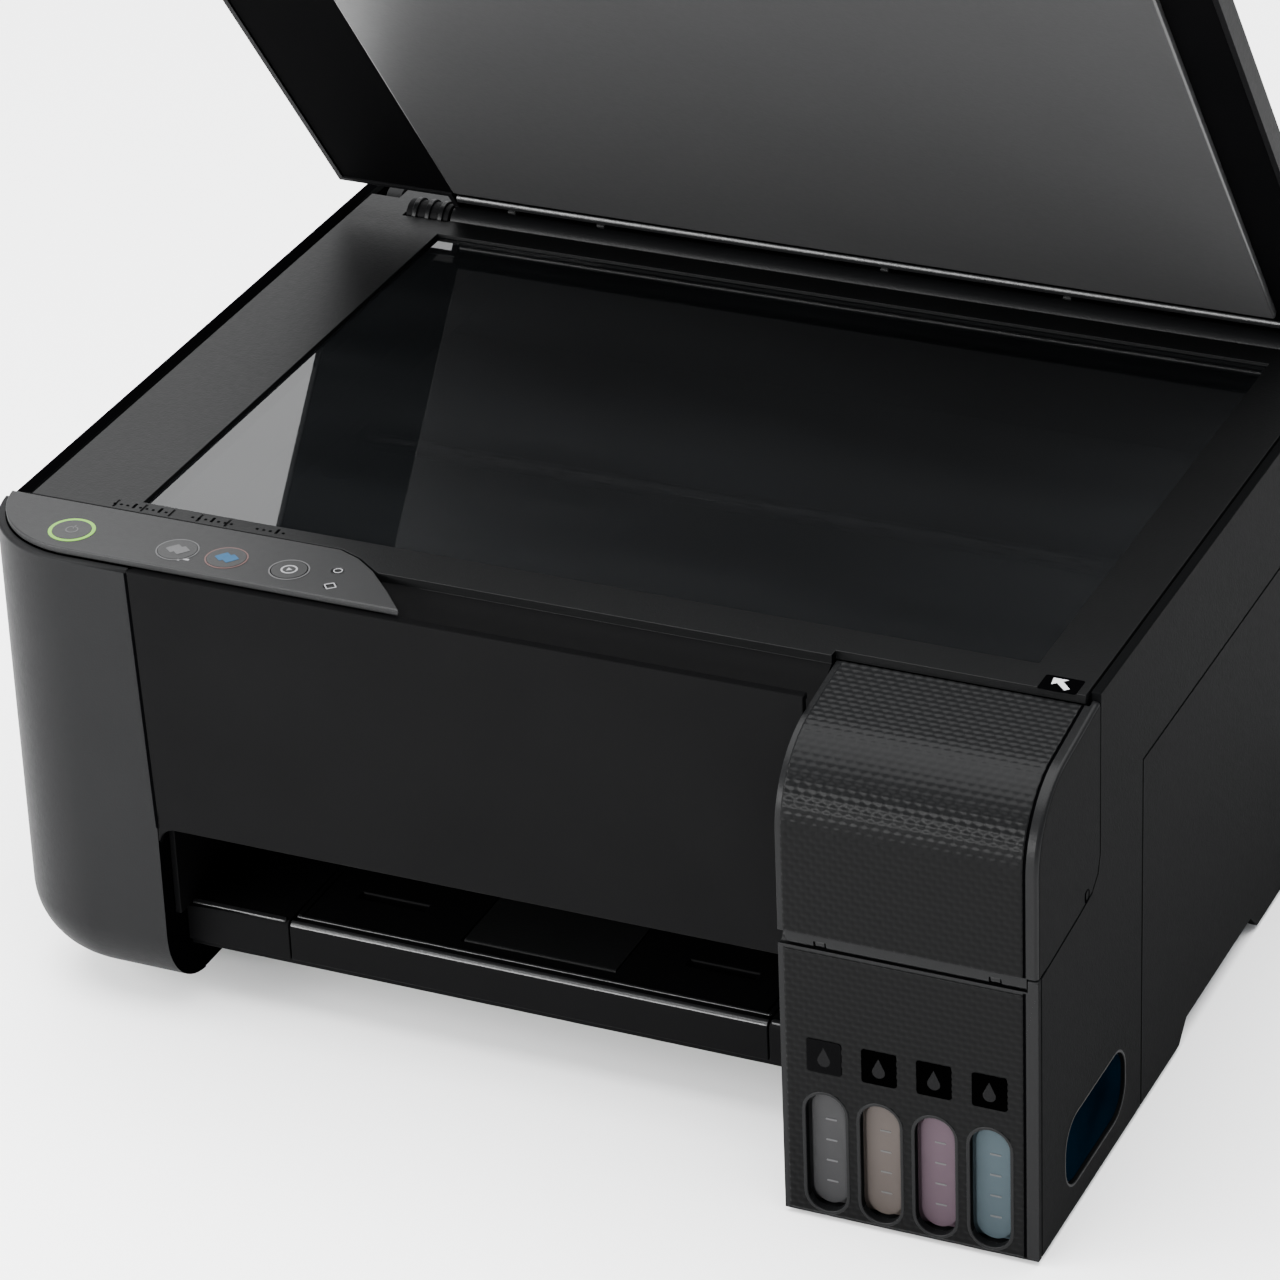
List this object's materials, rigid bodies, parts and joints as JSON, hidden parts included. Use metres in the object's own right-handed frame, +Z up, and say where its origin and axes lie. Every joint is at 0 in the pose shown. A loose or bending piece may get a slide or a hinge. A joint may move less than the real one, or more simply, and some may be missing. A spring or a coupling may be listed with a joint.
{
  "type": "inkjet printer",
  "caption": "Flatbed ink-tank printer with scanner lid held open, control panel, front paper slot and tray, rear sheet feeder and a side ink tank unit.",
  "frame": {"origin": "centre of the footprint at the surface the feet stand on", "axes": "+Z up, -Y towards the front (control panel and paper slot), +X towards the ink tank unit"},
  "size_m": [0.375, 0.347, 0.3731],
  "materials": {
    "case_black": "fine matte texture",
    "front_black": "fine matte texture",
    "woven_black": "woven relief texture, satin",
    "frame_black": "fine matte texture",
    "panel_grey": "satin grey",
    "inner_black": "matte",
    "button_grey": "satin",
    "button_blue": "satin",
    "lid_black": "matte texture",
    "mat_white": "soft white sheet on foam",
    "platen_glass": "clear polished",
    "tank_smoke": "translucent",
    "tank_yellow": "translucent, yellow ink",
    "tank_magenta": "translucent, magenta ink",
    "tank_cyan": "translucent, cyan ink",
    "cap_black": "soft rubber",
    "cap_yellow": "soft rubber",
    "cap_magenta": "soft rubber",
    "cap_cyan": "soft rubber",
    "foot_rubber": "matte",
    "rubber": "matte",
    "zinc_steel": "zinc plated sheet",
    "roller_steel": "ground shaft",
    "screw_steel": "zinc plated",
    "motor_steel": "pressed can",
    "pulley_white": "nylon",
    "tube_dark": "soft tube",
    "pad_felt": "felt",
    "board_green": "solder mask",
    "port_metal": "plated shell"
  },
  "bodies": {
    "base": {"base_tray": "inner_black", "rubber_feet": "foot_rubber", "left_cover": "case_black", "front_cover": "front_black", "right_cover": "case_black", "right_rear_cover": "case_black", "rear_cover": "case_black", "tank_housing": "woven_black", "black_tank": "tank_smoke", "yellow_tank": "tank_yellow", "magenta_tank": "tank_magenta", "cyan_tank": "tank_cyan", "ink_tubes": "tube_dark", "carriage_rail": "zinc_steel", "timing_belt": "rubber", "carriage_motor": "motor_steel", "platen": "inner_black", "feed_belt": "rubber", "feed_motor": "motor_steel", "capping_station": "inner_black", "waste_ink_pad": "pad_felt", "main_board": "board_green", "power_supply": "zinc_steel", "power_inlet": "inner_black", "usb_port": "port_metal", "case_screws": "screw_steel"},
    "scanner_unit": {"scanner_frame": "frame_black", "scanner_tray": "inner_black", "scanner_glass": "platen_glass", "scan_rod": "roller_steel", "control_panel": "panel_grey", "hinge_brackets": "lid_black"},
    "lid": {"lid_shell": "lid_black", "lid_mat": "mat_white"},
    "ink_cover": {"ink_cover": "woven_black"},
    "black_cap": {"black_cap": "cap_black"},
    "yellow_cap": {"yellow_cap": "cap_yellow"},
    "magenta_cap": {"magenta_cap": "cap_magenta"},
    "cyan_cap": {"cyan_cap": "cap_cyan"},
    "output_tray": {"output_tray": "inner_black"},
    "tray_extension": {"tray_extension": "frame_black"},
    "paper_stop": {"paper_stop": "frame_black"},
    "paper_support": {"paper_support": "frame_black"},
    "feeder_guard": {"feeder_guard": "case_black"},
    "left_edge_guide": {"left_edge_guide": "frame_black"},
    "right_edge_guide": {"right_edge_guide": "frame_black"},
    "hopper_plate": {"hopper_plate": "inner_black"},
    "pickup_roller": {"pickup_roller": "rubber"},
    "carriage": {"print_carriage": "inner_black", "print_head": "inner_black"},
    "drive_pulley": {"drive_pulley": "pulley_white"},
    "idler_pulley": {"idler_pulley": "pulley_white"},
    "feed_roller": {"feed_roller": "roller_steel"},
    "exit_roller": {"exit_roller": "roller_steel"},
    "star_wheels": {"star_wheels": "roller_steel"},
    "scan_bar": {"scan_bar": "inner_black"},
    "power_button": {"power_button": "button_grey"},
    "mono_copy_button": {"mono_copy_button": "button_grey"},
    "colour_copy_button": {"colour_copy_button": "button_blue"},
    "stop_button": {"stop_button": "button_grey"}
  },
  "joints": [
    {"name": "scanner_lift", "type": "hinge", "parent": "base", "child": "scanner_unit", "pos_m": [0, 0.1365, 0.166], "axis": [-1, 0, 0], "range_deg": [0, 25]},
    {"name": "lid_hinge", "type": "hinge", "parent": "scanner_unit", "child": "lid", "pos_m": [0, 0.123, 0.1687], "axis": [-1, 0, 0], "range_deg": [-52.76, 26]},
    {"name": "ink_cover_hinge", "type": "hinge", "parent": "base", "child": "ink_cover", "pos_m": [0, -0.1719, 0.0995], "axis": [1, 0, 0], "range_deg": [0, 100]},
    {"name": "black_cap_hinge", "type": "hinge", "parent": "base", "child": "black_cap", "pos_m": [0.1186, -0.1365, 0.105], "axis": [-1, 0, 0], "range_deg": [0, 100]},
    {"name": "yellow_cap_hinge", "type": "hinge", "parent": "base", "child": "yellow_cap", "pos_m": [0.1364, -0.1365, 0.105], "axis": [-1, 0, 0], "range_deg": [0, 100]},
    {"name": "magenta_cap_hinge", "type": "hinge", "parent": "base", "child": "magenta_cap", "pos_m": [0.1542, -0.1365, 0.105], "axis": [-1, 0, 0], "range_deg": [0, 100]},
    {"name": "cyan_cap_hinge", "type": "hinge", "parent": "base", "child": "cyan_cap", "pos_m": [0.172, -0.1365, 0.105], "axis": [-1, 0, 0], "range_deg": [0, 100]},
    {"name": "output_tray_slide", "type": "slide", "parent": "base", "child": "output_tray", "axis": [0, -1, 0], "range_m": [0, 0.1]},
    {"name": "tray_extension_slide", "type": "slide", "parent": "output_tray", "child": "tray_extension", "axis": [0, -1, 0], "range_m": [0, 0.085]},
    {"name": "paper_stop_hinge", "type": "hinge", "parent": "tray_extension", "child": "paper_stop", "pos_m": [0, -0.1235, 0.0399], "axis": [1, 0, 0], "range_deg": [0, 80]},
    {"name": "paper_support_slide", "type": "slide", "parent": "base", "child": "paper_support", "axis": [0, 0.4226, 0.9063], "range_m": [0, 0.095]},
    {"name": "feeder_guard_hinge", "type": "hinge", "parent": "base", "child": "feeder_guard", "pos_m": [0, 0.1451, 0.1689], "axis": [1, 0, 0], "range_deg": [0, 85]},
    {"name": "left_guide_slide", "type": "slide", "parent": "hopper_plate", "child": "left_edge_guide", "axis": [1, 0, 0], "range_m": [0, 0.05]},
    {"name": "right_guide_slide", "type": "slide", "parent": "hopper_plate", "child": "right_edge_guide", "axis": [1, 0, 0], "range_m": [-0.05, 0]},
    {"name": "hopper_hinge", "type": "hinge", "parent": "base", "child": "hopper_plate", "pos_m": [0, 0.15225, 0.1569], "axis": [-1, 0, 0], "range_deg": [0, 1.9]},
    {"name": "pickup_spin", "type": "hinge", "parent": "base", "child": "pickup_roller", "pos_m": [0, 0.1032, 0.0948], "axis": [1, 0, 0], "continuous": true},
    {"name": "carriage_slide", "type": "slide", "parent": "base", "child": "carriage", "axis": [1, 0, 0], "range_m": [-0.27, 0]},
    {"name": "drive_pulley_spin", "type": "hinge", "parent": "base", "child": "drive_pulley", "pos_m": [-0.163, 0.0655, 0.106], "axis": [0, 0, 1], "continuous": true},
    {"name": "idler_pulley_spin", "type": "hinge", "parent": "base", "child": "idler_pulley", "pos_m": [0.176, 0.0655, 0.106], "axis": [0, 0, 1], "continuous": true},
    {"name": "feed_roller_spin", "type": "hinge", "parent": "base", "child": "feed_roller", "pos_m": [0, 0.0665, 0.067], "axis": [1, 0, 0], "continuous": true},
    {"name": "exit_roller_spin", "type": "hinge", "parent": "base", "child": "exit_roller", "pos_m": [0, -0.0235, 0.0685], "axis": [1, 0, 0], "continuous": true},
    {"name": "star_wheel_spin", "type": "hinge", "parent": "base", "child": "star_wheels", "pos_m": [0, -0.0235, 0.078], "axis": [1, 0, 0], "continuous": true},
    {"name": "scan_bar_slide", "type": "slide", "parent": "scanner_unit", "child": "scan_bar", "axis": [1, 0, 0], "range_m": [0, 0.28]},
    {"name": "power_press", "type": "slide", "parent": "scanner_unit", "child": "power_button", "axis": [0, 0, -1], "range_m": [0, 0.0008], "stiffness_N_per_m": 400, "springref_m": -0.0005},
    {"name": "mono_copy_press", "type": "slide", "parent": "scanner_unit", "child": "mono_copy_button", "axis": [0, 0, -1], "range_m": [0, 0.0008], "stiffness_N_per_m": 400, "springref_m": -0.0005},
    {"name": "colour_copy_press", "type": "slide", "parent": "scanner_unit", "child": "colour_copy_button", "axis": [0, 0, -1], "range_m": [0, 0.0008], "stiffness_N_per_m": 400, "springref_m": -0.0005},
    {"name": "stop_press", "type": "slide", "parent": "scanner_unit", "child": "stop_button", "axis": [0, 0, -1], "range_m": [0, 0.0008], "stiffness_N_per_m": 400, "springref_m": -0.0005}
  ],
  "couplings": [
    {"joint": "right_guide_slide", "follows": "left_guide_slide", "ratio": -1},
    {"joint": "drive_pulley_spin", "follows": "carriage_slide", "rad_per_m": -136.99},
    {"joint": "idler_pulley_spin", "follows": "carriage_slide", "rad_per_m": -136.99},
    {"joint": "exit_roller_spin", "follows": "feed_roller_spin", "ratio": 1.25},
    {"joint": "star_wheel_spin", "follows": "feed_roller_spin", "ratio": -1.4881}
  ]
}
